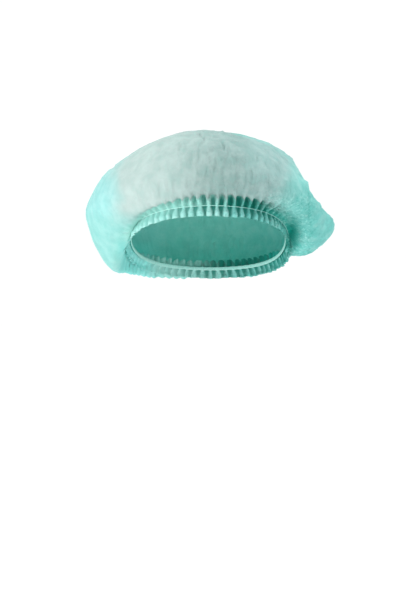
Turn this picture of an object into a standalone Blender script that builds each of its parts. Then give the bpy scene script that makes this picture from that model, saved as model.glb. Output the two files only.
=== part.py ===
"""Disposable bouffant cap in its worn shape: a gathered crown of thin spunbond cloth, its
pleated hem frill, and the elastic that draws both in.

The origin is inside the elastic loop, halfway between its front and its back. The front faces
-Y, and +Z is up. Sizes are in millimetres and become metres when a mesh is made.
"""

import math

import bpy
import numpy as np

MM = 0.001

# The elastic loop, an oval when seen from above, high at the front and low at the back. It
# reaches further to the left, -X, than to the right.
LOOP_LEFT_REACH = 78.0
LOOP_RIGHT_REACH = 71.0
LOOP_HALF_LENGTH = 97.0
LOOP_RISE = 27.0
LOOP_SIDE_DROP = 2.0

# The gathers. Every rib is one fold of cloth, caught by the stitch line.
RIBS = 72
FIRST_RIB_BEARING = -2.0
CLOTH_THICKNESS = 1.0
HEM_THICKNESS = 1.2
GAP = 0.3

# The elastic, a flat strip behind the stitch line.
ELASTIC_WIDTH = 4.0
ELASTIC_THICKNESS = 0.9

# The top of the crown, and the middle of the pouf, which dents are pushed in towards.
APEX = (-11.0, 12.0, 101.5)
POUF_MIDDLE = (0.0, 8.0, 30.0)

# The crown's outline in upright sections. A bearing is counted from the front towards +X.
# low is the lip or droop over the stitch line, wide the widest place, waist where the cloth
# goes slack above it, and shoulder where it turns in to the top; _r is the distance from the
# upright axis and _z the height.
SECTION_COLUMNS = (
    "bearing", "low_r", "low_z", "wide_r", "wide_z", "waist_r", "waist_z", "shoulder_r", "shoulder_z",
)
SECTION_ROWS = (
    (0, 108, 35, 117, 56, 109, 73, 87, 89),
    (30, 104, 29, 114, 50, 105, 67, 84, 84),
    (60, 94, 17, 109, 33, 100, 51, 81, 73),
    (90, 85, -14, 115, 14, 91, 35, 80, 69),
    (120, 84, -16, 112, 9, 97, 36, 81, 70),
    (150, 100, -33, 128, 2, 119, 38, 92, 75),
    (180, 108, -36, 137, 3, 128, 40, 98, 77),
    (210, 102, -36, 131, 5, 123, 41, 96, 76),
    (240, 91, -32, 122, 14, 117, 42, 94, 71),
    (270, 91, -26, 119, 20, 112, 47, 94, 68),
    (300, 95, 9, 114, 34, 108, 53, 89, 74),
    (330, 104, 27, 114, 49, 107, 65, 86, 84),
)

# The main dents and folds: where each is, how far it reaches each way (in degrees of bearing,
# and as a share of the way from stitch to top), and how deep it is.
DENT_COLUMNS = ("bearing", "share", "half_angle", "half_share", "depth")
DENT_ROWS = (
    (284, 0.60, 11, 0.05, 3.0),
    (262, 0.44, 13, 0.06, 2.0),
    (318, 0.50, 10, 0.16, 1.6),
    (345, 0.62, 9, 0.16, 1.4),
    (8, 0.52, 9, 0.18, 1.5),
    (31, 0.60, 10, 0.15, 1.8),
    (52, 0.45, 10, 0.10, 2.2),
    (70, 0.60, 12, 0.07, 2.6),
    (72, 0.31, 14, 0.05, 4.4),
    (104, 0.36, 11, 0.06, 3.2),
    (118, 0.60, 12, 0.08, 2.8),
    (142, 0.42, 10, 0.14, 3.0),
    (168, 0.50, 9, 0.18, 2.6),
    (192, 0.40, 10, 0.12, 3.0),
    (206, 0.64, 11, 0.10, 2.4),
    (232, 0.46, 10, 0.14, 3.0),
)

# How far the gathered cloth stands out from the loop and above it, between stitch and lip.
CREST_OUT, CREST_UP = 5.5, 3.5
VALLEY_OUT, VALLEY_UP = 2.2, 9.0
STITCH_CREST_OUT = 1.2
SEAM_LIFT = 0.5
LIP_VALLEY_IN, LIP_VALLEY_UP = 1.5, 2.8

# Where the rings of the crown lie, as shares of the way from stitch to apex, and how many
# points each has: two for every rib near the stitch, fewer where the gathers have died out.
GATHERED_RINGS = (0.0, 0.025, 0.05, 0.08, 0.115, 0.155, 0.20, 0.26)
BODY_RINGS = (0.32, 0.38, 0.44, 0.50, 0.56, 0.62, 0.68, 0.74, 0.80)
TOP_RINGS = (0.86, 0.92, 0.965)

# The frill under the stitch line, one row for each ring of it.
FRILL_COLUMNS = ("down", "crest_out", "valley_out")
FRILL_ROWS = (
    (0.0, 1.2, 0.0),
    (2.9, 3.0, 0.3),
    (6.1, 3.9, 0.5),
    (9.3, 4.3, 0.9),
)

# How fine the loop is walked along, how far apart two points are that give its direction, and
# how flat the cloth comes in to the apex.
LOOP_SAMPLES = 1440
LOOP_STEP = 0.001
APEX_FLATNESS = 1.0


def loop_point(bearing):
    """The point of the elastic loop on each bearing, in radians."""
    half_width = np.where(np.sin(bearing) > 0, LOOP_RIGHT_REACH, LOOP_LEFT_REACH)
    across = LOOP_HALF_LENGTH * np.sin(bearing)
    along = half_width * np.cos(bearing)
    radius = half_width * LOOP_HALF_LENGTH / np.hypot(across, along)
    height = LOOP_RISE * np.cos(bearing) - LOOP_SIDE_DROP * np.sin(bearing) ** 2
    return np.stack([radius * np.sin(bearing), -radius * np.cos(bearing), height], axis=-1)


def bearings_by_length(count):
    """Bearings of points the same length of elastic apart, the first on the first rib."""
    first = math.radians(FIRST_RIB_BEARING)
    fine = first + np.linspace(0, 2 * math.pi, LOOP_SAMPLES + 1)
    steps = np.linalg.norm(np.diff(loop_point(fine), axis=0), axis=1)
    run = np.concatenate([[0], np.cumsum(steps)])
    return np.interp(np.arange(count) * run[-1] / count, run, fine)


def loop_frame(bearing):
    """The outward and the upward direction at each point of the loop, square to it."""
    tangent = loop_point(bearing + LOOP_STEP) - loop_point(bearing - LOOP_STEP)
    tangent /= np.linalg.norm(tangent, axis=-1, keepdims=True)
    outward = np.stack([tangent[..., 1], -tangent[..., 0], np.zeros_like(bearing)], axis=-1)
    outward /= np.linalg.norm(outward, axis=-1, keepdims=True)
    upward = np.cross(outward, tangent)
    return outward, upward


def section_value(column, bearing):
    """A column of the evenly spaced sections, smoothly between its rows and all the way round."""
    values = np.array(SECTION_ROWS, float)[:, SECTION_COLUMNS.index(column)]
    place = np.degrees(bearing) % 360 / (360 / len(values))
    before = np.floor(place).astype(int)
    t = place - before
    a, b, c, d = (values[(before + k) % len(values)] for k in (-1, 0, 1, 2))
    slope_b, slope_c = (c - a) / 2, (d - b) / 2
    return (
        b * (2 * t**3 - 3 * t**2 + 1)
        + slope_b * (t**3 - 2 * t**2 + t)
        + c * (3 * t**2 - 2 * t**3)
        + slope_c * (t**3 - t**2)
    )


def section_point(bearing, name):
    """A named point of the crown's section on each bearing."""
    radius = section_value(name + "_r", bearing)
    height = section_value(name + "_z", bearing)
    return np.stack([radius * np.sin(bearing), -radius * np.cos(bearing), height], axis=-1)


def crown_knots(bearing, crest):
    """The seven points that a crown section runs through, on a crest (1) or in a valley (0)."""
    stitch = loop_point(bearing)
    outward, upward = loop_frame(bearing)
    crest = crest[:, None]
    out = VALLEY_OUT + (CREST_OUT - VALLEY_OUT) * crest
    up = VALLEY_UP + (CREST_UP - VALLEY_UP) * crest
    start = stitch + outward * STITCH_CREST_OUT * crest + upward * SEAM_LIFT
    gather = stitch + outward * out + upward * up
    lip = section_point(bearing, "low")
    lip -= outward * LIP_VALLEY_IN * (1 - crest)
    lip[:, 2] += LIP_VALLEY_UP * (1 - crest[:, 0])
    upper = [section_point(bearing, name) for name in ("wide", "waist", "shoulder")]
    return np.stack([start, gather, lip, *upper, np.broadcast_to(APEX, stitch.shape)])


def through(knots, share):
    """The point at a share of the way along a smooth curve through each section's knots."""
    chords = np.linalg.norm(np.diff(knots, axis=0), axis=2).mean(axis=1)
    at = np.concatenate([[0], np.cumsum(chords)])
    at /= at[-1]
    slopes = np.empty_like(knots)
    slopes[0] = (knots[1] - knots[0]) / (at[1] - at[0])
    for k in range(1, len(knots) - 1):
        before = (knots[k] - knots[k - 1]) / (at[k] - at[k - 1])
        after = (knots[k + 1] - knots[k]) / (at[k + 1] - at[k])
        weight = (at[k] - at[k - 1]) / (at[k + 1] - at[k - 1])
        slopes[k] = before * (1 - weight) + after * weight
    slopes[-1] = APEX_FLATNESS * (knots[-1] - knots[-2]) / (at[-1] - at[-2])
    slopes[-1][:, 2] = 0
    k = min(int(np.searchsorted(at, share, side="right")) - 1, len(chords) - 1)
    span = at[k + 1] - at[k]
    t = (share - at[k]) / span
    return (
        knots[k] * (2 * t**3 - 3 * t**2 + 1)
        + slopes[k] * span * (t**3 - 2 * t**2 + t)
        + knots[k + 1] * (3 * t**2 - 2 * t**3)
        + slopes[k + 1] * span * (t**3 - t**2)
    )


def dented(points, bearing, share):
    """The points of a ring, pushed in towards the middle of the pouf where a dent reaches."""
    depth = np.zeros(len(points))
    for row in DENT_ROWS:
        dent = dict(zip(DENT_COLUMNS, row))
        aside = (np.degrees(bearing) - dent["bearing"] + 180) % 360 - 180
        along = share - dent["share"]
        reach = (aside / dent["half_angle"]) ** 2 + (along / dent["half_share"]) ** 2
        depth += dent["depth"] * np.exp(-reach)
    inward = np.array(POUF_MIDDLE) - points
    inward /= np.linalg.norm(inward, axis=1, keepdims=True)
    return points + inward * depth[:, None]


def crown_rings():
    """The crown's rings from the stitch line up, each a closed row of points."""
    rings = []
    for shares, points_per_rib in ((GATHERED_RINGS, 2), (BODY_RINGS, 1), (TOP_RINGS, 0.5)):
        count = round(RIBS * points_per_rib)
        bearing = bearings_by_length(count)
        crest = np.arange(count) % 2 == 0 if points_per_rib == 2 else np.full(count, 0.5)
        knots = crown_knots(bearing, crest.astype(float))
        rings += [dented(through(knots, share), bearing, share) for share in shares]
    return rings


def frill_rings():
    """The frill's rings from the stitch line down."""
    count = 2 * RIBS
    bearing = bearings_by_length(count)
    crest = (np.arange(count) % 2 == 0).astype(float)[:, None]
    outward, upward = loop_frame(bearing)
    rings = []
    for row in FRILL_ROWS:
        ring = dict(zip(FRILL_COLUMNS, row))
        out = ring["valley_out"] + (ring["crest_out"] - ring["valley_out"]) * crest
        rings.append(loop_point(bearing) + outward * out - upward * (ring["down"] + GAP / 2))
    return rings


def elastic_rings():
    """The two edges of the elastic strip, one gap inside the cloth."""
    bearing = bearings_by_length(2 * RIBS)
    outward, upward = loop_frame(bearing)
    inset = HEM_THICKNESS / 2 + GAP + ELASTIC_THICKNESS / 2
    middle = loop_point(bearing) - outward * inset
    return [middle + upward * ELASTIC_WIDTH * half for half in (0.5, -0.5)]


def bridge(first, second):
    """Faces between two closed rows of vertex numbers, where the second has as many or half."""
    n = len(second)
    if len(first) == n:
        return [
            (first[i], first[(i + 1) % n], second[(i + 1) % n], second[i]) for i in range(n)
        ]
    faces = []
    for i in range(n):
        a, b, c = (first[(2 * i + k) % len(first)] for k in (0, 1, 2))
        p, q = second[i], second[(i + 1) % n]
        faces += [(a, b, p), (b, q, p), (b, c, q)]
    return faces


def cloth_object(name, rings, thickness, material, collection, apex=None):
    """A wall of cloth through the rings, closed over the top where an apex is given."""
    points = [point for ring in rings for point in ring]
    rows, start = [], 0
    for ring in rings:
        rows.append(range(start, start + len(ring)))
        start += len(ring)
    faces = [face for a, b in zip(rows, rows[1:]) for face in bridge(a, b)]
    if apex is not None:
        points.append(apex)
        last = rows[-1]
        faces += [(last[i], last[(i + 1) % len(last)], start) for i in range(len(last))]
    mesh = bpy.data.meshes.new(name)
    mesh.from_pydata([tuple(float(c) * MM for c in p) for p in points], [], faces)
    mesh.validate()
    mesh.materials.append(material)
    mesh.shade_smooth()
    piece = bpy.data.objects.new(name, mesh)
    collection.objects.link(piece)
    wall = piece.modifiers.new("wall", "SOLIDIFY")
    wall.thickness = thickness * MM
    wall.offset = 0
    wall.use_quality_normals = True
    return piece


def plain_material(name, colour, roughness):
    """A Principled material of one colour."""
    material = bpy.data.materials.new(name)
    material.use_nodes = True
    shader = material.node_tree.nodes["Principled BSDF"]
    shader.inputs["Base Color"].default_value = (*colour, 1)
    shader.inputs["Roughness"].default_value = roughness
    shader.inputs["Metallic"].default_value = 0
    return material


def make_cap():
    for old in list(bpy.data.objects):
        bpy.data.objects.remove(old)
    collection = bpy.data.collections.new("bouffant_cap")
    bpy.context.scene.collection.children.link(collection)
    cloth = plain_material("mint spunbond", (0.42, 0.80, 0.72), 0.85)
    hem = plain_material("folded spunbond", (0.36, 0.78, 0.69), 0.85)
    rubber = plain_material("elastic", (0.74, 0.88, 0.84), 0.6)
    cloth_object("crown", crown_rings(), CLOTH_THICKNESS, cloth, collection, np.array(APEX))
    cloth_object("hem_frill", frill_rings()[::-1], HEM_THICKNESS, hem, collection)
    cloth_object("elastic", elastic_rings()[::-1], ELASTIC_THICKNESS, rubber, collection)


make_cap()
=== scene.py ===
"""The looks of a disposable bouffant cap: the pouf of thin spunbond cloth with its gathers and
crumples, the pleated hem frill, the sewn-in elastic and the line of stitches that holds them.

Sizes are in millimetres, in the part's own frame, and become metres when a mesh is made. The
origin is inside the elastic loop, halfway between its front and its back. The front faces -Y,
and +Z is up. The materials read places from the meshes, so theirs are in metres.
"""

import math

import bpy
import numpy as np
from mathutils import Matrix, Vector


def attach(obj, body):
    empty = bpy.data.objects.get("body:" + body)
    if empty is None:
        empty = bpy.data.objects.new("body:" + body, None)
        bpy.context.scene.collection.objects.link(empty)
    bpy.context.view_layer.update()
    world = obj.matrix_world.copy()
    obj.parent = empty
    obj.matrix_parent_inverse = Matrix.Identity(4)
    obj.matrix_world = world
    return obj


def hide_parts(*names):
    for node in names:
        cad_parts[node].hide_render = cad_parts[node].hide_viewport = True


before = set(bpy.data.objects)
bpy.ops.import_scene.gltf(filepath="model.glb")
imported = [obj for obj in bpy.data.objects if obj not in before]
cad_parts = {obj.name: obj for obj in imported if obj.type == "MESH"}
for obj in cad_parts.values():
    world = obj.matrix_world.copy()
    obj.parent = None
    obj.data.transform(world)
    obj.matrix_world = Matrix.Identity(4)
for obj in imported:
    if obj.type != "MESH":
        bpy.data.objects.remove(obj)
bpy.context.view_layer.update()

MM = 0.001

# The elastic loop and the ribs that the stitches catch along it. The step, in radians, is what
# its directions are measured over.
LOOP_LEFT_REACH = 78.0
LOOP_RIGHT_REACH = 71.0
LOOP_HALF_LENGTH = 97.0
LOOP_RISE = 27.0
LOOP_SIDE_DROP = 2.0
RIBS = 72
FIRST_RIB_BEARING = -2.0
LOOP_SAMPLES = 1440
LOOP_STEP = 0.001

# The crown's outline in upright sections, the same as the solid's: a bearing counted from the
# front towards +X, then the distance from the axis and the height of each place in turn.
SECTION_COLUMNS = (
    "bearing", "low_r", "low_z", "wide_r", "wide_z", "waist_r", "waist_z",
    "shoulder_r", "shoulder_z",
)
SECTION_ROWS = (
    (0, 108, 35, 117, 56, 109, 73, 87, 89),
    (30, 104, 29, 114, 50, 105, 67, 84, 84),
    (60, 94, 17, 109, 33, 100, 51, 81, 73),
    (90, 85, -14, 115, 14, 91, 35, 80, 69),
    (120, 84, -16, 112, 9, 97, 36, 81, 70),
    (150, 100, -33, 128, 2, 119, 38, 92, 75),
    (180, 108, -36, 137, 3, 128, 40, 98, 77),
    (210, 102, -36, 131, 5, 123, 41, 96, 76),
    (240, 91, -32, 122, 14, 117, 42, 94, 71),
    (270, 91, -26, 119, 20, 112, 47, 94, 68),
    (300, 95, 9, 114, 34, 108, 53, 89, 74),
    (330, 104, 27, 114, 49, 107, 65, 86, 84),
)
APEX = (-11.0, 12.0, 101.5)
APEX_FLATNESS = 1.0
POUF_MIDDLE = (0.0, 8.0, 30.0)

# The main dents and folds, the same as the solid's.
DENT_COLUMNS = ("bearing", "share", "half_angle", "half_share", "depth")
DENT_ROWS = (
    (284, 0.60, 11, 0.05, 3.0),
    (262, 0.44, 13, 0.06, 2.0),
    (318, 0.50, 10, 0.16, 1.6),
    (345, 0.62, 9, 0.16, 1.4),
    (8, 0.52, 9, 0.18, 1.5),
    (31, 0.60, 10, 0.15, 1.8),
    (52, 0.45, 10, 0.10, 2.2),
    (70, 0.60, 12, 0.07, 2.6),
    (72, 0.31, 14, 0.05, 4.4),
    (104, 0.36, 11, 0.06, 3.2),
    (118, 0.60, 12, 0.08, 2.8),
    (142, 0.42, 10, 0.14, 3.0),
    (168, 0.50, 9, 0.18, 2.6),
    (192, 0.40, 10, 0.12, 3.0),
    (206, 0.64, 11, 0.10, 2.4),
    (232, 0.46, 10, 0.14, 3.0),
)

# The creases that show most, on the side that each row names: where the middle is across and up,
# how long it is to each side, how far its top leans to +X in degrees, its half width, and how
# deep it is, or how high where that is below nought. Those at the back are guessed.
CREASE_COLUMNS = ("side", "across", "up", "half_length", "lean", "half_width", "depth")
CREASE_ROWS = (
    ("front", 10, 82, 5, -17, 1.5, 2.0),
    ("front", -19, 70, 6, 0, 1.5, 1.4),
    ("front", -12, 72, 8, 3, 1.6, 1.5),
    ("front", -15, 56, 12, 0, 1.5, -1.0),
    ("front", -7, 57, 12, 2, 1.3, -0.8),
    ("front", 3, 62, 6, 10, 1.6, 1.6),
    ("front", -32, 73, 9, -45, 1.6, 1.1),
    ("front", -29, 75, 8, -45, 1.5, -0.8),
    ("front", 19, 59, 10, 0, 1.4, -0.9),
    ("front", 32, 54, 8, 0, 1.2, -1.1),
    ("front", 35, 54, 8, 0, 1.2, 1.0),
    ("front", 41, 70, 6, 5, 1.6, 1.3),
    ("front", 9, 63, 7, 27, 1.4, -1.0),
    ("front", -4, 82, 4, 0, 1.6, -0.9),
    ("front", 55, 46, 14, -62, 1.8, 1.2),
    ("front", 66, 66, 9, -30, 2.0, 1.4),
    ("front", 52, 78, 8, 35, 1.8, -1.2),
    ("front", -62, 47, 6, 20, 1.8, 0.9),
    ("front", -48, 60, 7, -20, 1.8, 0.8),
    ("front", -84, 12, 15, 2, 2.2, -1.0),
    ("front", -70, 27, 10, 88, 1.8, 0.9),
    ("front", -83, -7, 6, 90, 1.3, -1.2),
    ("front", -82, -11, 4, 5, 1.3, 2.6),
    ("front", -79, -24, 3, 25, 1.5, 3.0),
    ("front", 86, 14, 9, -78, 1.5, -1.2),
    ("front", 84, 10, 9, -70, 1.5, 1.4),
    ("front", 100, 23, 5, 60, 1.8, 1.6),
    ("front", 97, 4, 6, 30, 1.8, 1.3),
    ("front", 108, 12, 6, -20, 2.0, -1.3),
    ("front", 86, 49, 2, 0, 1.8, -2.2),
    ("front", -92, 66, 7, -50, 2.0, 1.4),
    ("front", -48, 84, 3, 20, 1.6, 1.5),
    ("front", -12, 95, 2, -35, 1.6, 2.0),
    ("front", -8, 89, 3, -20, 1.5, 2.0),
    ("front", -30, 81, 5, 0, 1.4, 1.5),
    ("front", -26, 82, 5, 0, 1.4, -1.1),
    ("front", -13, 80, 4, 25, 1.4, -1.3),
    ("front", -3, 72, 5, -25, 1.5, 1.5),
    ("front", 9, 96, 2, 40, 1.6, -1.6),
    ("front", 20, 93, 2, -35, 1.6, 1.8),
    ("front", 15, 75, 5, 5, 1.4, 1.4),
    ("front", 31, 87, 3, 30, 1.5, -1.4),
    ("back", -20, 60, 24, 12, 2.6, 2.0),
    ("back", 14, 40, 28, -8, 2.6, 1.8),
    ("back", 46, 52, 22, -22, 2.4, 2.0),
    ("back", -52, 38, 20, 26, 2.4, 1.8),
    ("back", 0, 8, 18, 40, 2.4, 1.6),
)

# How much a crease bends, and the Y beyond which the back's begin. How deep a crease is where
# its painted shade starts, and how much deeper where the painted shade is full.
CREASE_BEND, BACK_FROM = 0.12, 40
DARK_CREASE_FROM, DARK_CREASE_SPAN = 1.9, 0.9

# The gathers over the stitch line: how far out from the loop and above it a ridge and a valley
# of the cloth pass, how far a valley of the lip lies in from its ridges and above them, and how
# far the cloth is drawn in and down where it runs straight from the elastic to the lip.
CREST_OUT, CREST_UP = 6.0, 3.5
VALLEY_OUT, VALLEY_UP = 0.3, 8.0
STITCH_CREST_OUT = 1.2
LIP_VALLEY_IN, LIP_VALLEY_UP = 2.2, 3.2
DRAWN_IN, DRAWN_DOWN = 3.4, 10.5

# The bearings where it runs straight, on the left and on the right, and where it turns in deeply
# beside the elastic.
STRAIGHT_LEFT, STRAIGHT_RIGHT, HOLLOW_BEARING = 284, 98, 77

# As shares of the way from the stitches to the apex: how far the gathers stay sharp and how much
# further they ease, and where the crumples set in and how much further they are full.
SHARP_TO, EASING = 0.045, 0.12
SLACK_FROM, SLACK_SPAN = 0.06, 0.12

# How dark the folds' painted shade is, for the crown and the frill, lighter to the left where the
# light falls: the X where it starts to darken, how much further it is fully dark, and the least it
# is.
CROWN_FOLD_SHADE = (-36, 50, 0.24)
FRILL_FOLD_SHADE = (-66, 68, 0.16)

# The noises in space that crumple the cloth: the size of a cell along each axis, and the seed.
STREAK_NOISE = ((5.0, 5.0, 46.0), 11)
FINE_STREAK_NOISE = ((2.6, 2.6, 30.0), 12)
BIG_NOISE = ((30.0, 30.0, 24.0), 13)
MIDDLE_NOISE = ((15.0, 15.0, 12.0), 14)
SMALL_NOISE = ((7.5, 7.5, 8.0), 15)
FINE_NOISE = ((3.6, 3.6, 4.5), 16)
SWING_NOISE = ((40.0, 40.0, 30.0), 17)

# The walls of cloth that the surfaces are given.
CLOTH_WALL = 0.35
HEM_WALL = 0.5

# The crown's grid: columns to a rib over the front and over the back, and the rows as shares of
# the way from the stitches to the apex, closest together in the gathers.
FRONT_RIBS, FRONT_SAMPLES, BACK_SAMPLES = 19, 12, 8
CROWN_SHARES = np.concatenate([
    np.linspace(0, SHARP_TO, 11)[:-1],
    np.linspace(SHARP_TO, 0.14, 12)[:-1],
    np.linspace(0.14, 0.68, 34)[:-1],
    np.linspace(0.68, 0.985, 11),
])

# The frill's grid, how far down the cloth its pleats take to open, and how far they stand out at
# the stitches and, beyond that, once open.
FRILL_LENGTH, FRILL_ROWS, FRILL_SAMPLES = 9.4, 14, 14
PLEAT_OPENING = 7.0
PINCHED_STAND, OPEN_STAND = 1.2, 3.1

# The elastic strip and how far it lies behind the stitches. The thread's radius and how much it
# swells towards the middle of a stitch, how far out it runs, what a rib and the middle of a
# stitch add to that, and how far it strays up and down.
ELASTIC_SAMPLES, ELASTIC_CORNERS = 8, 12
ELASTIC_HALF_WIDTH, ELASTIC_HALF_THICKNESS = 1.7, 0.34
ELASTIC_INSET, ELASTIC_RIPPLE = 1.35, 0.16
THREAD_SAMPLES, THREAD_CORNERS = 20, 8
STITCH_LENGTH_RIBS = 0.36
THREAD_RADIUS, THREAD_SWELL = 0.24, 0.08
THREAD_OUT, THREAD_ON_RIB, THREAD_LIFT, THREAD_STRAY = 1.25, 0.35, 0.32, 0.12

# The photograph's frame, and where the cap stands in it.
PICTURE_WIDTH, PICTURE_HEIGHT = 406, 615
ORIGIN_PIXEL_X = 212.0
EYE_LEVEL = -65.4
MM_PER_PIXEL = 0.95
CAMERA_DISTANCE = 2200.0
SENSOR_HEIGHT = 24.0

# The floor and the sky.
FLOOR_LEVEL = -430.0
FLOOR_HALF_WIDTH_M = 40.0
FLOOR_GLOW = 0.22
SKY_STRENGTH = 1.02

# The soft lights: where each stands and how wide it is, in metres, and its power in watts.
LIGHT_COLUMNS = ("name", "place", "size", "power")
LIGHT_ROWS = (
    ("key", (-2.0, -1.3, 0.25), 0.9, 24.0),
    ("fill", (1.5, -0.7, 1.7), 1.0, 15.0),
    ("top", (0.3, 0.8, 2.0), 1.4, 12.0),
)
LIGHT_AIM = (0, 0, 0.03)

# Noise in space: how many random values its lattice draws on, the primes that mix the lattice's
# three numbers, and a shift that keeps the cap away from the lattice's nought.
NOISE_VALUES = 4096
LATTICE_PRIMES = (73856093, 19349663, 83492791)
LATTICE_SHIFT = 517.3


# Curves and noise

def smooth(t):
    """Three t squared less two t cubed, on t held from 0 to 1."""
    t = np.clip(t, 0, 1)
    return t * t * (3 - 2 * t)


def bump(value, middle, reach):
    """A bell: the exponential of minus the square of the distance over the reach."""
    return np.exp(-(((value - middle) / reach) ** 2))


def aside(bearing, middle):
    """Degrees from a middle bearing, the short way round, of bearings in radians."""
    return (np.degrees(bearing) - middle + 180) % 360 - 180


def near(bearing, middle, reach):
    """A bell round a middle bearing, over a reach in degrees."""
    return bump(aside(bearing, middle), 0, reach)


def solid_noise(points, cell, seed):
    """Noise from -1 to 1 in space: random values at the corners of a lattice of cells, blended
    along each axis by six t to the fifth less fifteen t to the fourth plus ten t cubed."""
    table = np.random.default_rng(seed).uniform(-1, 1, NOISE_VALUES)
    place = points / np.array(cell, float) + LATTICE_SHIFT
    corner = np.floor(place).astype(np.int64)
    t = place - corner
    blend = t**3 * (t * (6 * t - 15) + 10)
    total = 0
    for step in np.ndindex(2, 2, 2):
        mixed = (corner + step) * np.array(LATTICE_PRIMES)
        index = np.bitwise_xor.reduce(mixed, axis=-1) % NOISE_VALUES
        weight = np.where(step, blend, 1 - blend).prod(axis=-1)
        total = total + table[index] * weight
    return total


def creased(noise):
    """Noise turned into sharp creases: one less twice its distance from nought."""
    return 1 - 2 * np.abs(noise)


def around(phase, seed, width=1.0):
    """Random values from -1 to 1, one for each width of that many ribs, blended smoothly over the
    phase. The width goes a whole number of times into the ribs, so the last joins the first."""
    count = round(RIBS / width)
    values = np.random.default_rng(seed).uniform(-1, 1, count)
    place = phase / width
    before = np.floor(place).astype(int)
    t = smooth(place - before)
    return values[before % count] * (1 - t) + values[(before + 1) % count] * t


def per_rib(phase, seed):
    """One random value from -1 to 1 for the rib that each phase belongs to."""
    values = np.random.default_rng(seed).uniform(-1, 1, RIBS)
    return values[np.floor(phase + 0.5).astype(int) % RIBS]


def stretch(bearing, start, rise, end, fall):
    """1 along a stretch of bearings: it rises from 0 in so many degrees after the start, and
    falls to 0 again in so many after the end."""
    return smooth(aside(bearing, start) / rise) * (1 - smooth(aside(bearing, end) / fall))


# The loop and the crown's sections

def loop_point(bearing):
    """An oval seen from above, wider to the left than to the right, at a height of rise times
    the cosine of the bearing, less the side drop times the square of its sine."""
    half_width = np.where(np.sin(bearing) > 0, LOOP_RIGHT_REACH, LOOP_LEFT_REACH)
    across = LOOP_HALF_LENGTH * np.sin(bearing)
    along = half_width * np.cos(bearing)
    radius = half_width * LOOP_HALF_LENGTH / np.hypot(across, along)
    height = LOOP_RISE * np.cos(bearing) - LOOP_SIDE_DROP * np.sin(bearing) ** 2
    return np.stack([radius * np.sin(bearing), -radius * np.cos(bearing), height], axis=-1)


def bearing_at(phase):
    """The bearing at each phase, where ribs lie the same length of elastic apart, and a whole
    turn more for each time round."""
    first = math.radians(FIRST_RIB_BEARING)
    fine = first + np.linspace(0, 2 * math.pi, LOOP_SAMPLES + 1)
    steps = np.linalg.norm(np.diff(loop_point(fine), axis=0), axis=1)
    run = np.concatenate([[0], np.cumsum(steps)])
    turn = np.floor(np.asarray(phase) / RIBS)
    return np.interp((phase - turn * RIBS) * run[-1] / RIBS, run, fine) + 2 * math.pi * turn


def loop_frame(bearing):
    """The level direction out of the loop, and the direction up it, at right angles to
    the loop's own direction."""
    tangent = loop_point(bearing + LOOP_STEP) - loop_point(bearing - LOOP_STEP)
    tangent /= np.linalg.norm(tangent, axis=-1, keepdims=True)
    outward = np.stack([tangent[..., 1], -tangent[..., 0], np.zeros_like(bearing)], axis=-1)
    outward /= np.linalg.norm(outward, axis=-1, keepdims=True)
    return outward, np.cross(outward, tangent)


def section_value(column, bearing):
    """A column of the section table, by cubic pieces through its rows and round."""
    values = np.array(SECTION_ROWS, float)[:, SECTION_COLUMNS.index(column)]
    place = np.degrees(bearing) % 360 / (360 / len(values))
    before = np.floor(place).astype(int)
    t = place - before
    a, b, c, d = (values[(before + k) % len(values)] for k in (-1, 0, 1, 2))
    slope_b, slope_c = (c - a) / 2, (d - b) / 2
    return (
        b * (2 * t**3 - 3 * t**2 + 1)
        + slope_b * (t**3 - 2 * t**2 + t)
        + c * (3 * t**2 - 2 * t**3)
        + slope_c * (t**3 - t**2)
    )


def section_point(bearing, name):
    """The point of a named place of the section, at its distance from the axis and its height."""
    radius = section_value(name + "_r", bearing)
    height = section_value(name + "_z", bearing)
    return np.stack([radius * np.sin(bearing), -radius * np.cos(bearing), height], axis=-1)


def drawn_straight(bearing):
    """Two bells over the bearings where the cloth runs straight from the elastic to the lip."""
    return near(bearing, STRAIGHT_LEFT, 28) + 0.9 * near(bearing, STRAIGHT_RIGHT, 19)


def crown_knots(bearing, crest):
    """The seven points that a section of the crown runs through, from its crest value: 1 on a
    ridge of the gathers and 0 in a valley."""
    stitch = loop_point(bearing)
    outward, upward = loop_frame(bearing)
    crest = crest[..., None]
    drawn = drawn_straight(bearing)[..., None]
    out = VALLEY_OUT + (CREST_OUT - VALLEY_OUT) * crest - DRAWN_IN * drawn
    up = VALLEY_UP + (CREST_UP - VALLEY_UP) * crest - DRAWN_DOWN * drawn
    start = stitch + outward * STITCH_CREST_OUT * crest
    gather = stitch + outward * out + upward * up
    lip = section_point(bearing, "low")
    lip = lip - outward * LIP_VALLEY_IN * (1 - crest)
    lip[..., 2] += LIP_VALLEY_UP * (1 - crest[..., 0])
    upper = [section_point(bearing, name) for name in ("wide", "waist", "shoulder")]
    return np.stack([start, gather, lip, *upper, np.broadcast_to(APEX, stitch.shape)])


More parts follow.
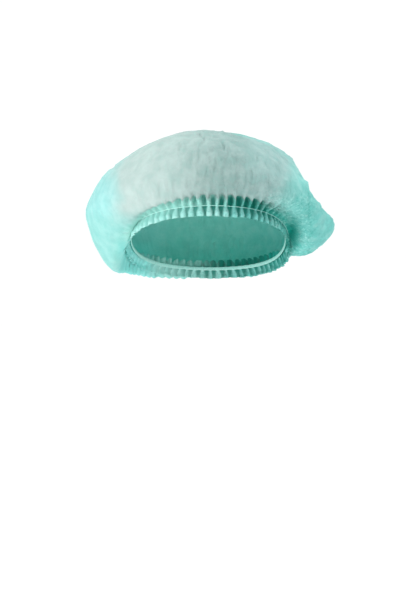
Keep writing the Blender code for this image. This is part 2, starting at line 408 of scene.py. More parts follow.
def through(knots, share):
    """Cubic pieces through the knots, each slope that of the parabola through its neighbours,
    at a share of the way that is worked out from the mean distances between the knots."""
    chords = np.linalg.norm(np.diff(knots, axis=0), axis=-1)
    chords = chords.reshape(len(chords), -1).mean(axis=1)
    at = np.concatenate([[0], np.cumsum(chords)])
    at /= at[-1]
    slopes = np.empty_like(knots)
    slopes[0] = (knots[1] - knots[0]) / (at[1] - at[0])
    for k in range(1, len(knots) - 1):
        before = (knots[k] - knots[k - 1]) / (at[k] - at[k - 1])
        after = (knots[k + 1] - knots[k]) / (at[k + 1] - at[k])
        weight = (at[k] - at[k - 1]) / (at[k + 1] - at[k - 1])
        slopes[k] = before * (1 - weight) + after * weight
    slopes[-1] = APEX_FLATNESS * (knots[-1] - knots[-2]) / (at[-1] - at[-2])
    slopes[-1][..., 2] = 0
    k = min(int(np.searchsorted(at, share, side="right")) - 1, len(chords) - 1)
    span = at[k + 1] - at[k]
    t = (share - at[k]) / span
    return (
        knots[k] * (2 * t**3 - 3 * t**2 + 1)
        + slopes[k] * span * (t**3 - 2 * t**2 + t)
        + knots[k + 1] * (3 * t**2 - 2 * t**3)
        + slopes[k + 1] * span * (t**3 - t**2)
    )


def dent_depth(bearing, share):
    """The sum of the dents' bells over bearing and share."""
    depth = np.zeros(np.broadcast(bearing, share).shape)
    for row in DENT_ROWS:
        dent = dict(zip(DENT_COLUMNS, row))
        across = aside(bearing, dent["bearing"]) / dent["half_angle"]
        along = (share - dent["share"]) / dent["half_share"]
        depth += dent["depth"] * np.exp(-(across**2) - along**2)
    return depth


# The gathered cloth

def crown_phases():
    """The crown's columns, in ribs: closer together over the front half than over the back."""
    front = np.arange(-FRONT_RIBS * FRONT_SAMPLES, FRONT_RIBS * FRONT_SAMPLES) / FRONT_SAMPLES
    back = np.arange(FRONT_RIBS * BACK_SAMPLES, (RIBS - FRONT_RIBS) * BACK_SAMPLES) / BACK_SAMPLES
    return np.concatenate([front, back])


def rib_phase(phase):
    """The phase, pushed a little to either side so that no two ribs are the same width."""
    return phase + 0.09 * around(phase + 0.5, 3) + 0.05 * around(phase, 4, 0.5)


def ridge(phase, width, sharpness):
    """A ridge in the middle of each rib: the exponential of minus the distance from it, over a
    width, raised to a power."""
    distance = np.abs((phase + 0.5) % 1 - 0.5)
    return np.exp(-((distance / width) ** sharpness))


def left_side(bearing):
    """1 from the left of the front to the left side, fading to 0 past both ends."""
    return stretch(-bearing, 2, 36, 110, 40)


def right_end(bearing):
    """1 where the seam turns down on the right, fading to 0 past both ends."""
    return stretch(bearing, 34, 20, 105, 30)


def flatter_gathers(bearing):
    """How much of their depth the gathers lose, where the cloth lies closer to the elastic."""
    return 0.66 * left_side(bearing) + 0.55 * right_end(bearing)


def right_hollow(bearing):
    """A bell over the bearings where the cloth turns in deeply beside the elastic."""
    return near(bearing, HOLLOW_BEARING, 14)


def fold_shade(points, start, span, least):
    """How dark a fold's painted shade may look: the least left of the start, and fully a span on
    from it.
    """
    return least + (1 - least) * smooth((points[..., 0] - start) / span)


def crown_surface():
    """The crown as a grid of share and phase: the sections with their gathers, then dented and
    crumpled. Gives the points, the painted shade of the folds at each, and how near the seam it is,
    which places the gathers' painted light and shade.

    The crest falls from 1 on a rib to 0 beside it near the stitches, and evens out above them.
    Painted shade lies in the valleys between crests, up to the share that the gathers reach, in the
    hollow at the right and in the deepest creases."""
    phase = crown_phases()
    bearing = bearing_at(phase)
    ribs = rib_phase(phase)
    hollow = right_hollow(bearing)
    turned = right_end(bearing)
    flat = flatter_gathers(bearing)
    to_right = stretch(bearing, 12, 30, 95, 30)
    shorter = stretch(bearing, 26, 18, 105, 30)
    wider = 0.07 * smooth(-aside(bearing, 12) / 20)
    sway = 0.16 * around(ribs, 9) + 0.5 * hollow * around(ribs, 10, 0.5)
    reach = 0.024 + 0.006 * to_right - 0.016 * shorter + 0.010 * around(ribs, 22)
    left_spread = 0.08 * near(bearing, STRAIGHT_LEFT, 20)
    spread = 0.045 + 0.04 * to_right - 0.058 * shorter + left_spread
    rows, fold_shadings, seam_lightings = [], [], []
    for share in CROWN_SHARES:
        pinch = bump(share, 0.0, 0.015)
        relaxed = smooth((share - SHARP_TO) / EASING)
        width = 0.16 + wider + 0.08 * pinch + 0.16 * relaxed + 0.03 * per_rib(ribs, 7)
        crest = ridge(ribs + sway * smooth(share / 0.05), width, 2.0)
        crest *= 1 - 0.10 * (1 + per_rib(ribs, 8)) * (1 - pinch)
        crest = crest * (1 - relaxed) + (0.35 + 0.3 * crest) * relaxed
        tapered = 0.75 * smooth(share / (reach + 0.016))
        valley = smooth(1.4 * (1 - crest) - tapered) * (1 - smooth((share - reach) / 0.026))
        valley *= 1 - 0.75 * turned
        crest = 1 - (1 - crest) * (1 - flat)
        rows.append(through(crown_knots(bearing, crest), share))
        # Painted shade in the valleys, and in the hollow at the right near the stitches.
        fold_shadings.append(np.maximum(valley, hollow * (1 - smooth((share - SHARP_TO) / 0.05))))
        # Near the seam, where the gathers' painted light and shade lie.
        seam_lightings.append(1 - smooth((share - reach) / spread))
    share = CROWN_SHARES[:, None]
    points = crumpled(np.array(rows), bearing[None, :], ribs[None, :], share)
    # Painted shade in the deepest creases, and the folds' painted shade lighter to the left.
    crease_shade = smooth((-crease_push(points) - DARK_CREASE_FROM) / DARK_CREASE_SPAN)
    fold_shading = np.maximum(np.array(fold_shadings) * fold_shade(points, *CROWN_FOLD_SHADE), crease_shade)
    return points, fold_shading, np.array(seam_lightings)


def normals_of(points):
    """The cross product of the grid's two directions, closed round and one-sided at its ends."""
    around_it = np.roll(points, -1, axis=1) - np.roll(points, 1, axis=1)
    up_it = np.gradient(points, axis=0)
    normal = np.cross(around_it, up_it)
    return normal / np.maximum(np.linalg.norm(normal, axis=-1, keepdims=True), 1e-9)


def crease_push(points):
    """The sum of the creases: a bell across each one, flat along it and falling off at its
    ends. Each bends a little, by a share of the square of the length from its middle."""
    push = np.zeros(points.shape[:-1])
    for row in CREASE_ROWS:
        crease = dict(zip(CREASE_COLUMNS, row))
        lean = math.radians(crease["lean"])
        aside_x = points[..., 0] - crease["across"]
        aside_z = points[..., 2] - crease["up"]
        across = aside_x * math.cos(lean) - aside_z * math.sin(lean)
        along = aside_x * math.sin(lean) + aside_z * math.cos(lean)
        across = across + CREASE_BEND * along**2 / crease["half_length"]
        at_front = crease["side"] == "front"
        on_side = points[..., 1] < BACK_FROM if at_front else points[..., 1] > BACK_FROM
        across = across / crease["half_width"]
        along = along / crease["half_length"]
        push -= crease["depth"] * np.exp(-(across**2) - along**4) * on_side
    return push


def crumpled(points, bearing, ribs, share):
    """Points moved in by the dents, then along their normals by upright wrinkles, long folds,
    crumples and the placed creases, all of which fade out towards the gathers."""
    inward = np.array(POUF_MIDDLE) - points
    inward /= np.linalg.norm(inward, axis=-1, keepdims=True)
    points = points + inward * dent_depth(bearing, share)[..., None]
    normal = normals_of(points)
    slack = smooth((share - SLACK_FROM) / SLACK_SPAN)
    right = near(bearing, 80, 40)
    left = near(bearing, 285, 40)
    back = near(bearing, 180, 70)
    lively = 0.7 + 0.9 * right - 0.40 * left + 0.7 * back
    centre = near(bearing, 12, 32)
    lobe = near(bearing, 64, 18) * bump(share, 0.20, 0.13)
    streaks = solid_noise(points, *STREAK_NOISE)
    streaks = streaks + 0.6 * solid_noise(points, *FINE_STREAK_NOISE)
    radial = np.sin(2 * math.pi * ribs) * around(ribs, 21, 2.0) * bump(share, 0.16, 0.16)
    swing = solid_noise(points, *SWING_NOISE)
    long_folds = creased(around(ribs + 2.2 * swing, 23, 2.4)) * smooth((0.62 - share) / 0.5)
    big = creased(solid_noise(points, *BIG_NOISE))
    middle = creased(solid_noise(points + 9 * streaks[..., None], *MIDDLE_NOISE))
    small = creased(solid_noise(points, *SMALL_NOISE))
    fine = solid_noise(points, *FINE_NOISE)
    crumples = 0.9 * (big - 0.35) + 0.7 * (middle - 0.3) + 0.45 * (small - 0.3) + 0.2 * fine
    push = (
        streaks * (0.22 + 0.62 * centre)
        + radial * (0.5 + 0.5 * centre)
        + (long_folds - 0.3) * (0.25 + 2.1 * back)
        + lively * crumples
        + lobe * (0.6 * (small - 0.3) + 0.5 * fine)
        + crease_push(points)
    )
    return points + normal * (slack * push)[..., None]


def frill_surface():
    """The frill as a grid of length down and phase: wide pleats with narrow clefts between,
    pinched at the stitches. The height of a row is a ridge between valley and crest heights. Also
    gives the painted shade in the clefts and at the right end."""
    phase = np.arange(RIBS * FRILL_SAMPLES) / FRILL_SAMPLES
    bearing = bearing_at(phase)
    ribs = rib_phase(phase)
    outward, upward = loop_frame(bearing)
    flat = 0.6 * flatter_gathers(bearing)
    hollow = right_hollow(bearing)
    stand = OPEN_STAND - 1.4 * hollow - 1.2 * near(bearing, 282, 26)
    # Painted shade at the frill's right end, by the hollow.
    end_shade = 0.92 * near(bearing, 80, 20)
    rows, fold_shadings = [], []
    for down in np.linspace(0, FRILL_LENGTH, FRILL_ROWS):
        open_share = smooth(down / PLEAT_OPENING)
        width = 0.21 + 0.15 * open_share + 0.03 * per_rib(ribs, 31)
        crest = ridge(ribs + 0.05 * open_share * around(ribs, 32), width, 2.0 + 1.4 * open_share)
        # Painted shade in the clefts.
        fold_shading = smooth(1.15 * (1 - crest)) * (1 - 0.25 * open_share)
        crest = 1 - (1 - crest) * (1 - flat)
        height = PINCHED_STAND + (stand + 0.7 * per_rib(ribs, 33)) * open_share
        depth = -0.1 + 0.3 * open_share
        out = depth + (height - depth) * crest
        out = out + 0.35 * open_share * np.sin(down * 0.9 + 5 * around(ribs, 34))
        drop = down * (1 + 0.05 * (crest - 0.5) + 0.05 * around(ribs, 35))
        rows.append(loop_point(bearing) + outward * out[:, None] - upward * drop[:, None])
        fold_shadings.append(np.maximum(fold_shading, end_shade))
    points = np.array(rows)
    return points, np.array(fold_shadings) * fold_shade(points, *FRILL_FOLD_SHADE)


# Meshes

def linked_piece(name, mesh):
    """A smooth-shaded object at the origin."""
    mesh.shade_smooth()
    piece = bpy.data.objects.new(name, mesh)
    bpy.context.scene.collection.objects.link(piece)
    return piece


def cloth_map(mesh, points, quads):
    """Gives a mesh a map of lengths in metres: round the middle row, and up the mean column. The
    last column's quads end on the first column's points, a whole turn further on."""
    rows, columns = points.shape[:2]
    middle = points[rows // 2]
    steps = np.linalg.norm(np.roll(middle, -1, axis=0) - middle, axis=1)
    rise = np.linalg.norm(np.diff(points, axis=0), axis=2).mean(axis=1)
    across = np.concatenate([[0], np.cumsum(steps)])
    along = np.append(np.concatenate([[0], np.cumsum(rise)]), rise.sum() + rise[-1])
    corners = np.empty(len(mesh.loops), np.int64)
    mesh.loops.foreach_get("vertex_index", corners)
    row, column = np.divmod(corners, columns)
    in_last = np.repeat(quads[:, 0] % columns == columns - 1, 4)
    wraps = np.zeros(len(corners), bool)
    wraps[: quads.size] = in_last & (column[: quads.size] == 0)
    column = np.where(wraps, columns, column)
    uv = np.stack([across[column], along[np.minimum(row, rows)]], axis=-1) * MM
    mesh.uv_layers.new(name="cloth").data.foreach_set("uv", uv.astype(np.float32).ravel())


def grid_mesh(name, points, attributes, cap=None):
    """A mesh from a grid that is closed round its second axis and faces outward, with a value of
    each attribute at each point. A fan of faces closes the last row to the cap, if there is one."""
    rows, columns = points.shape[:2]
    number = np.arange(rows * columns).reshape(rows, columns)
    beside = np.roll(number, -1, axis=1)
    quads = np.stack([number[:-1], beside[:-1], beside[1:], number[1:]], axis=-1).reshape(-1, 4)
    verts = points.reshape(-1, 3)
    faces = quads.tolist()
    if cap is not None:
        verts = np.concatenate([verts, [cap]])
        tip = np.full(columns, len(verts) - 1)
        faces += np.stack([number[-1], beside[-1], tip], axis=-1).tolist()
    mesh = bpy.data.meshes.new(name)
    mesh.from_pydata((verts * MM).tolist(), [], faces)
    for key, values in attributes.items():
        layer = mesh.attributes.new(key, "FLOAT", "POINT")
        flat = values.reshape(-1)
        layer.data.foreach_set("value", np.append(flat, [flat[-1]] * (len(verts) - len(flat))))
    cloth_map(mesh, points, quads)
    return linked_piece(name, mesh)


def give_wall(piece, thickness):
    """A wall of cloth, half of it on each side of the surface."""
    wall = piece.modifiers.new("wall", "SOLIDIFY")
    wall.thickness = thickness * MM
    wall.offset = 0
    wall.use_quality_normals = True
    return piece


def tube_points(path, side, up, profile):
    """A closed tube: each path point plus the profile's two numbers times the side and the up
    direction there. A row of the grid is one place of the profile."""
    return np.stack([path + side * a[..., None] + up * b[..., None] for a, b in profile])


def closed_tube(name, points):
    """A mesh from a grid that is closed along both its axes."""
    rows, columns = points.shape[:2]
    number = np.arange(rows * columns).reshape(rows, columns)
    beside = np.roll(number, -1, axis=1)
    above, both = np.roll(number, -1, axis=0), np.roll(beside, -1, axis=0)
    quads = np.stack([number, beside, both, above], axis=-1).reshape(-1, 4)
    mesh = bpy.data.meshes.new(name)
    mesh.from_pydata((points.reshape(-1, 3) * MM).tolist(), [], quads.tolist())
    return linked_piece(name, mesh)


def turns_of(corners):
    """The angles of the corners of a tube's profile."""
    return np.linspace(0, 2 * math.pi, corners + 1)[:-1]


def rounded(wave, power):
    """A cosine or sine with its size raised to a power, which squares off a round profile."""
    return math.copysign(abs(wave) ** power, wave)


def make_elastic():
    """A flat strip with rounded edges behind the stitches, rippled by the ribs it draws in."""
    phase = np.arange(RIBS * ELASTIC_SAMPLES) / ELASTIC_SAMPLES
    bearing = bearing_at(phase)
    outward, upward = loop_frame(bearing)
    ripple = ELASTIC_RIPPLE * np.cos(2 * math.pi * rib_phase(phase))
    path = loop_point(bearing) - outward * (ELASTIC_INSET - 0.5 * ripple)[:, None]
    profile = []
    for turn in turns_of(ELASTIC_CORNERS):
        out = ELASTIC_HALF_THICKNESS * rounded(math.cos(turn), 0.6)
        rise = (ELASTIC_HALF_WIDTH + ripple) * rounded(math.sin(turn), 0.8)
        profile.append((np.full_like(ripple, out), rise))
    return closed_tube("elastic_band", tube_points(path, outward, upward, profile))


def make_stitches():
    """The thread along the stitch line: a thin tube that rides on the ribs, bridges the clefts
    between them, and dips into the cloth at each end of a stitch."""
    phase = np.arange(RIBS * THREAD_SAMPLES) / THREAD_SAMPLES
    bearing = bearing_at(phase)
    outward, upward = loop_frame(bearing)
    ridge_here = ridge(rib_phase(phase), 0.33, 2.0)
    stitches = round(RIBS / STITCH_LENGTH_RIBS)
    along = np.abs(np.sin(math.pi * phase / RIBS * stitches))
    out = THREAD_OUT + THREAD_ON_RIB * ridge_here + THREAD_LIFT * along**0.5
    stray = THREAD_STRAY * around(phase, 41, 0.5)
    path = loop_point(bearing) + outward * out[:, None] + upward * stray[:, None]
    radius = THREAD_RADIUS + THREAD_SWELL * along
    profile = [
        (radius * math.cos(turn), radius * math.sin(turn)) for turn in turns_of(THREAD_CORNERS)
    ]
    return closed_tube("stitch_thread", tube_points(path, outward, upward, profile))


# Materials

class Value:
    """A number that changes over the surface, with the operators that the materials use."""

    def __init__(self, graph, socket):
        self.graph = graph
        self.socket = socket

    def maths(self, operation, first, second):
        node = self.graph.node("ShaderNodeMath", {"operation": operation}, {0: first, 1: second})
        return Value(self.graph, node.outputs[0])

    def __add__(self, other):
        return self.maths("ADD", self, other)

    def __radd__(self, other):
        return self.maths("ADD", other, self)

    def __sub__(self, other):
        return self.maths("SUBTRACT", self, other)

    def __rsub__(self, other):
        return self.maths("SUBTRACT", other, self)

    def __mul__(self, other):
        return self.maths("MULTIPLY", self, other)

    def __rmul__(self, other):
        return self.maths("MULTIPLY", other, self)

    def __pow__(self, other):
        return self.maths("POWER", self, other)

    def held(self):
        """Held from 0 to 1."""
        return self.maths("MINIMUM", self.maths("MAXIMUM", self, 0.0), 1.0)

    def between(self, low, high):
        """0 at low and 1 at high, smoothly."""
        node = self.graph.node(
            "ShaderNodeMapRange",
            {"interpolation_type": "SMOOTHSTEP"},
            {"Value": self, "From Min": low, "From Max": high},
        )
        return Value(self.graph, node.outputs[0])


class Graph:
    """A material's nodes. Each node is made in one call, from its type, settings and inputs."""

    def __init__(self, name):
        self.material = bpy.data.materials.new(name)
        self.material.use_nodes = True
        self.tree = self.material.node_tree
        self.tree.nodes.clear()

    def node(self, kind, settings=None, inputs=None):
        node = self.tree.nodes.new(kind)
        for key, value in (settings or {}).items():
            setattr(node, key, value)
        for key, value in (inputs or {}).items():
            socket = node.inputs[key]
            if isinstance(value, Value):
                value = value.socket
            if isinstance(value, bpy.types.NodeSocket):
                self.tree.links.new(value, socket)
            elif socket.type == "RGBA":
                socket.default_value = (*value, 1)
            else:
                socket.default_value = value
        return node

    def mix(self, factor, first, second, blend="MIX"):
        """Two colours blended by a factor."""
        node = self.node(
            "ShaderNodeMix", {"data_type": "RGBA", "blend_type": blend},
            {0: factor, 6: first, 7: second},
        )
        return node.outputs[2]

    def attribute(self, name):
        """A value that the mesh holds at each of its points."""
        node = self.node("ShaderNodeAttribute", {"attribute_name": name})
        return Value(self, node.outputs["Fac"])

    def coordinates(self, output="Object", scale=(1, 1, 1)):
        """Object coordinates or the piece's own map, each axis times its scale."""
        source = self.node("ShaderNodeTexCoord").outputs[output]
        mapping = self.node("ShaderNodeMapping", {}, {"Vector": source, "Scale": scale})
        return mapping.outputs[0]

    def axes(self):
        """The object coordinates, each a value in metres."""
        source = self.node("ShaderNodeTexCoord").outputs["Object"]
        split = self.node("ShaderNodeSeparateXYZ", {}, {0: source})
        return [Value(self, output) for output in split.outputs]

    def noise(self, vector, scale, detail, roughness):
        """Cloudy noise round a half, with so many features to a metre."""
        node = self.node(
            "ShaderNodeTexNoise", {},
            {"Vector": vector, "Scale": scale, "Detail": detail, "Roughness": roughness},
        )
        return Value(self, node.outputs["Fac"])

    def relief(self, strength, distance, height):
        """A bumped normal, from a height and how many metres a height of 1 stands for."""
        return self.node(
            "ShaderNodeBump", {}, {"Strength": strength, "Distance": distance, "Height": height}
        ).outputs[0]

    def finish(self, shader):
        self.node("ShaderNodeOutputMaterial", {}, {"Surface": shader.outputs[0]})
        return self.material


# Colours, as linear light: the cloth's by place, painted light and shade among them, then the
# painted shade of its folds, its web's and the thread's.
MINT = (0.30, 0.70, 0.64)
# Painted light: the mint lit from the left.
LIT_MINT = (0.38, 0.73, 0.73)
LOW_MINT = (0.32, 0.68, 0.65)
# Painted light: the brighter mint beside the hem on the left.
HEM_LIT_MINT = (0.26, 0.80, 0.77)
# Painted shade: on the lobe's lower part, and on the right, away from the light.
LOBE_SHADE_MINT = (0.13, 0.55, 0.51)
SHADED_MINT = (0.21, 0.61, 0.58)
# Painted light and shade on the pale front: lit on the left, shaded on the right and low in the
# middle.
LIT_PALE = (0.56, 0.62, 0.605)
SHADED_PALE = (0.32, 0.44, 0.44)
PALE_SHADE = (0.24, 0.30, 0.29)
# Painted light and shade on the gathers and the frill: lit on the left, shaded on the right.
GATHERS_LIT_AND_SHADED = ((0.43, 0.82, 0.75), (0.08, 0.46, 0.40))
FRILL_LIT_AND_SHADED = ((0.38, 0.74, 0.69), (0.17, 0.55, 0.51))
# Painted shade in the folds, the hollow and the frill's clefts.
FOLD_SHADE_TEAL = (0.001, 0.17, 0.13)
HOLLOW_SHADE_TEAL = (0.001, 0.33, 0.27)
FRILL_FOLD_SHADE_TEAL = (0.001, 0.20, 0.16)
DARK_GRAIN, LIGHT_GRAIN = (0.03, 0.38, 0.32), (0.46, 0.85, 0.80)
DENSE_WEB, THIN_WEB = (0.10, 0.45, 0.39), (0.80, 0.98, 0.95)
LIGHT_THROUGH = (0.22, 0.78, 0.70)
THREAD_COLOUR, THREAD_SHEEN = (0.36, 0.76, 0.69), (0.48, 0.86, 0.79)
# Painted light: the thread lit on the left.
THREAD_LIT_LEFT = (0.58, 0.97, 0.90)
ELASTIC_SHADE, ELASTIC_COLOUR = (0.24, 0.56, 0.50), (0.38, 0.70, 0.64)
FLOOR_SHADES = ((0.86, 0.86, 0.86), (0.88, 0.88, 0.88))
# Painted light: the gain that brightens the upper right.
BRIGHTER = (1.20, 1.20, 1.20)

# The share of the light that shines through one ply of cloth and through two.
ONE_PLY_THROUGH, TWO_PLY_THROUGH = 0.28, 0.20

# How many features to a metre each noise has, and the bonded points to a metre.
FLOOR_SCALE = 3.0
WANDER_SCALE = 24.0
CLOUD_SCALE = 85.0
CRUMPLE_SCALE = 150.0
DRAPE_SCALE = 330.0
LUMP_SCALE = 420.0
GRAIN_SCALE = 430.0
SPECK_SCALE = 560.0
BOND_SCALE = 620.0
COVER_SCALE = 900.0
FIBRE_SCALE = 1500.0
TWIST_SCALE = 2200.0


def mint_lit_from_left(graph, x, z):
    """Painted light and shade by place: brighter to the left, where the light falls, and deeper to
    the right, away from it. Deeper still low on the left, and with painted shade on the lobe's
    lower part at the right.
    """
    colour = graph.mix(x.between(-0.03, -0.095), MINT, LIT_MINT)
    colour = graph.mix(x.between(0.0, 0.10), colour, SHADED_MINT)
    low_left = x.between(-0.045, -0.075) * z.between(0.032, 0.010)
    colour = graph.mix(low_left * 0.85, colour, LOW_MINT)
    # Painted shade on the lobe's lower part.
    lobe = x.between(0.068, 0.078) * x.between(0.102, 0.088) * z.between(0.034, 0.020)
    return graph.mix(lobe * 0.7, colour, LOBE_SHADE_MINT)


def pale_front(graph, colour, x, y, z):
    """A colour with the paler and greyer front laid over it, whose edges wander by a noise. The
    front has painted light on the left, painted shade on the right and low in the middle, and a
    painted brighter upper right.
    """
    wander = (graph.noise(graph.coordinates(), WANDER_SCALE, 1.0, 0.5) - 0.5) * 0.04
    pale = (
        (x + wander).between(-0.104, -0.078)
        * (y + wander * 1.5).between(0.060, -0.045)
        * (x - z * 0.7 + wander).between(0.062, 0.020)
        * z.between(0.006, 0.028)
    )
    # Painted light on the left and painted shade on the right.
    front = graph.mix(x.between(-0.075, 0.065), LIT_PALE, SHADED_PALE)
    # Painted shade low in the middle.
    shaded = x.between(-0.050, -0.005) * x.between(0.062, 0.020) * z.between(0.100, 0.050)
    front = graph.mix(shaded * 0.45, front, PALE_SHADE)
    colour = graph.mix(pale * 0.92, colour, front)
    # Painted light: the upper right made brighter.
    lit = x.between(0.022, 0.040) * z.between(0.040, 0.056)
    return graph.mix(lit, colour, BRIGHTER, "MULTIPLY")


def seam_light_and_shade(graph, colour, seam_lighting, lit_and_shaded_gathers, x, z):
    """A colour with the gathers' painted light and shade laid over it near the seam: lit on the
    left and shaded on the right. It is speckled there too.
    """
    # Painted light on the left and painted shade on the right, over the gathers near the seam.
    gathers_lit_to_shaded = graph.mix(x.between(-0.012, 0.036), *lit_and_shaded_gathers)
    colour = graph.mix(seam_lighting, colour, gathers_lit_to_shaded)
    # Painted light beside the hem on the left, where light shines through the cloth.
    lit_by_hem = x.between(-0.094, -0.083) * x.between(-0.050, -0.070) * z.between(0.004, -0.012)
    colour = graph.mix(lit_by_hem * 0.85, colour, HEM_LIT_MINT)
    specks = graph.noise(graph.coordinates(), SPECK_SCALE, 2.0, 0.6).between(0.54, 0.66)
    speckled = x.between(-0.070, 0.020) * 0.45 + x.between(0.050, 0.066) * 0.35
    return graph.mix(specks * seam_lighting * speckled, colour, HOLLOW_SHADE_TEAL)


def grained_lobe(graph, colour, x, y, z):
    """A colour with dark and light grain over the lobe at the right."""
    grained = x.between(0.034, 0.056) * x.between(0.104, 0.088) * z.between(0.048, 0.030)
    grained = grained * y.between(0.030, 0.000)
    grain = graph.noise(graph.coordinates(), GRAIN_SCALE, 2.0, 0.6)
    colour = graph.mix(grain.between(0.55, 0.64) * grained * 0.60, colour, DARK_GRAIN)
    return graph.mix(grain.between(0.45, 0.36) * grained * 0.50, colour, LIGHT_GRAIN)


def cloth_colour(graph, lit_and_shaded_gathers, right_fold_shade):
    """Mint cloth, with painted light and shade by place, clouded by the web's uneven fibres, and
    with painted shade in its folds.
    """
    fold_shading, seam_lighting = graph.attribute("fold_shading"), graph.attribute("seam_lighting")
    x, y, z = graph.axes()
    colour = pale_front(graph, mint_lit_from_left(graph, x, z), x, y, z)
    colour = seam_light_and_shade(graph, colour, seam_lighting, lit_and_shaded_gathers, x, z)
    colour = grained_lobe(graph, colour, x, y, z)
    clouds = graph.noise(graph.coordinates(), CLOUD_SCALE, 4.0, 0.6)
    colour = graph.mix(clouds.between(0.40, 0.75) * 0.16, colour, DENSE_WEB)
    colour = graph.mix(clouds.between(0.60, 0.30) * 0.14, colour, THIN_WEB)
    # Painted shade in the folds, a lighter teal far to the right.
    fold_shade_colour = graph.mix(x.between(0.040, 0.066), FOLD_SHADE_TEAL, right_fold_shade)
    return graph.mix(fold_shading, colour, fold_shade_colour)


def spunbond(name, through_light, lit_and_shaded_gathers, right_fold_shade):
    """Thin nonwoven cloth: a web of fibres with rows of small bonded points and sharp little
    crumples. A share of the light shines through it from behind."""
    graph = Graph(name)
    fibres = graph.noise(graph.coordinates("UV", (1.0, 0.45, 1.0)), FIBRE_SCALE, 5.0, 0.7)
    lumps = graph.noise(graph.coordinates(), LUMP_SCALE, 3.0, 0.55)
    drape = graph.noise(graph.coordinates(scale=(1.0, 1.0, 0.12)), DRAPE_SCALE, 3.0, 0.6)
    points = graph.node(
        "ShaderNodeTexVoronoi", {"distance": "CHEBYCHEV"},
        {
            "Vector": graph.coordinates("UV", (1.0, 1.6, 1.0)),
            "Scale": BOND_SCALE,
            "Randomness": 0.25,
        },
    )
    bonds = Value(graph, points.outputs["Distance"]).between(0.05, 0.30)
    crumple = graph.noise(graph.coordinates(), CRUMPLE_SCALE, 2.0, 0.5) - 0.5
    crumpled_here = 0.25 + 0.75 * graph.axes()[0].between(-0.06, 0.05)
    sharp = (crumple**2).between(0.0024, 0.0) * crumpled_here
    height = fibres * 0.5 + lumps * 0.9 + drape * 1.3 + bonds * 0.35 - sharp * 1.4
    relief = graph.relief(0.5, 0.0006, height)
    face = graph.node(
        "ShaderNodeBsdfPrincipled", {},
        {
            "Base Color": cloth_colour(graph, lit_and_shaded_gathers, right_fold_shade),
            "Roughness": (0.62 + 0.25 * fibres).held(),
            "Specular IOR Level": 0.18,
            "Sheen Weight": 0.04,
            "Sheen Roughness": 0.5,
            "Normal": relief,
        },
    )
    behind = graph.node(
        "ShaderNodeBsdfTranslucent", {}, {"Color": LIGHT_THROUGH, "Normal": relief}
    )
    both = graph.node(
        "ShaderNodeMixShader", {}, {0: through_light, 1: face.outputs[0], 2: behind.outputs[0]}
    )
    return graph.finish(both)


def elastic_material():
    """Rubber strands in a thin cover: pale mint, with a fine grain."""
    graph = Graph("covered_elastic")
    cover = graph.noise(graph.coordinates(), COVER_SCALE, 4.0, 0.6)
    face = graph.node(
        "ShaderNodeBsdfPrincipled", {},
        {
            "Base Color": graph.mix(cover.between(0.3, 0.7), ELASTIC_SHADE, ELASTIC_COLOUR),
            "Roughness": (0.5 + 0.2 * cover).held(),
            "Normal": graph.relief(0.5, 0.0004, cover),
        },
    )
    return graph.finish(face)


def thread_material():
    """Twisted sewing thread, a shade paler than the cloth, with painted light to the left and
    painted shade to the right.
    """
    graph = Graph("sewing_thread")
    twist = graph.noise(graph.coordinates(), TWIST_SCALE, 2.0, 0.5)
    x = graph.axes()[0]
    colour = graph.mix(twist.between(0.3, 0.7), THREAD_COLOUR, THREAD_SHEEN)
    # Painted shade: darker to the right, in the frill's shaded colour.
    colour = graph.mix(x.between(-0.005, 0.050) * 0.7, colour, FRILL_LIT_AND_SHADED[1])
    # Painted light: palest to the left.
    colour = graph.mix(x.between(-0.010, -0.045) * 0.8, colour, THREAD_LIT_LEFT)
    face = graph.node(
        "ShaderNodeBsdfPrincipled", {},
        {
            "Base Color": colour,
            "Roughness": (0.45 + 0.2 * twist).held(),
            "Normal": graph.relief(0.4, 0.0003, twist),
        },
    )
    return graph.finish(face)


def floor_material():
    """Plain pale paper that glows a little, so that it reads as white in the picture."""
    graph = Graph("pale_floor")
    grain = graph.noise(graph.coordinates(), FLOOR_SCALE, 2.0, 0.5)
    face = graph.node(
        "ShaderNodeBsdfPrincipled", {},
        {
            "Base Color": graph.mix(grain.between(0.3, 0.7), *FLOOR_SHADES),
            "Roughness": 0.9,
            "Specular IOR Level": 0.0,
            "Emission Color": (1, 1, 1),
            "Emission Strength": FLOOR_GLOW,
        },
    )
    return graph.finish(face)


# The stage

def make_camera():
    """A level camera whose frame puts the cap where the photograph has it."""
    data = bpy.data.cameras.new("camera")
    data.sensor_fit = "VERTICAL"
    data.sensor_height = SENSOR_HEIGHT
    data.lens = data.sensor_height * CAMERA_DISTANCE / (PICTURE_HEIGHT * MM_PER_PIXEL)
    camera = bpy.data.objects.new("camera", data)
    aim_x = (PICTURE_WIDTH / 2 - ORIGIN_PIXEL_X) * MM_PER_PIXEL
    camera.location = Vector((aim_x, -CAMERA_DISTANCE, EYE_LEVEL)) * MM
    camera.rotation_euler = (math.pi / 2, 0, 0)
    bpy.context.scene.collection.objects.link(camera)
    bpy.context.scene.camera = camera


def make_light(name, place, size, power):
    """A square soft light, aimed at the cap."""
    data = bpy.data.lights.new(name, "AREA")
    data.size = size
    data.energy = power
    light = bpy.data.objects.new(name, data)
    light.location = place
    aim = Vector(LIGHT_AIM) - Vector(place)
    light.rotation_euler = aim.to_track_quat("-Z", "Y").to_euler()
    bpy.context.scene.collection.objects.link(light)


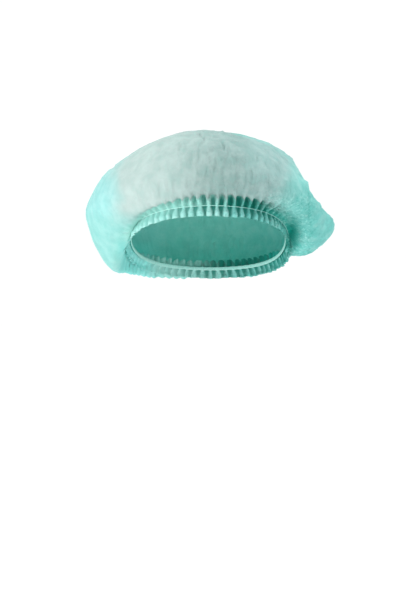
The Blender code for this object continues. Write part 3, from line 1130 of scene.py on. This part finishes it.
def make_stage():
    """A wide pale floor under a white world, and soft lights: the strong one from the left."""
    half = FLOOR_HALF_WIDTH_M
    corners = [(-half, -half), (half, -half), (half, half), (-half, half)]
    mesh = bpy.data.meshes.new("floor")
    mesh.from_pydata([(x, y, FLOOR_LEVEL * MM) for x, y in corners], [], [(0, 1, 2, 3)])
    mesh.materials.append(floor_material())
    floor = bpy.data.objects.new("floor", mesh)
    bpy.context.scene.collection.objects.link(floor)
    world = bpy.data.worlds.new("studio")
    world.use_nodes = True
    background = world.node_tree.nodes["Background"]
    background.inputs["Color"].default_value = (1, 1, 1, 1)
    background.inputs["Strength"].default_value = SKY_STRENGTH
    bpy.context.scene.world = world
    for row in LIGHT_ROWS:
        make_light(**dict(zip(LIGHT_COLUMNS, row)))


# The cap

def make_crown():
    """The pouf: its grid, closed at the apex, in cloth of one ply."""
    points, fold_shading, seam_lighting = crown_surface()
    crown = grid_mesh("crown_cloth", points, {"fold_shading": fold_shading, "seam_lighting": seam_lighting}, cap=APEX)
    crown.data.materials.append(
        spunbond("crown_spunbond", ONE_PLY_THROUGH, GATHERS_LIT_AND_SHADED, HOLLOW_SHADE_TEAL)
    )
    return give_wall(crown, CLOTH_WALL)


def make_frill():
    """The frill: its grid from the free edge up, in cloth of two plies."""
    points, fold_shading = frill_surface()
    # The whole frill takes the gathers' painted light and shade.
    seam_lighting = np.ones_like(fold_shading)
    frill = grid_mesh("frill_cloth", points[::-1], {"fold_shading": fold_shading[::-1], "seam_lighting": seam_lighting})
    frill.data.materials.append(
        spunbond("hem_spunbond", TWO_PLY_THROUGH, FRILL_LIT_AND_SHADED, FRILL_FOLD_SHADE_TEAL)
    )
    return give_wall(frill, HEM_WALL)


def dress(piece, slot, *nodes):
    """Rides a piece on the cap's one body, in place of the solids that it stands for."""
    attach(piece, "root")
    if nodes:
        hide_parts(*nodes)


make_camera()
make_stage()
crown = make_crown()
frill = make_frill()
elastic = make_elastic()
elastic.data.materials.append(elastic_material())
stitches = make_stitches()
stitches.data.materials.append(thread_material())
dress(crown, "spunbond", "crown")
dress(frill, "folded_hem", "hem_frill")
dress(elastic, "elastic", "elastic")
dress(stitches, "elastic")

bpy.context.scene.view_settings.view_transform = "Standard"
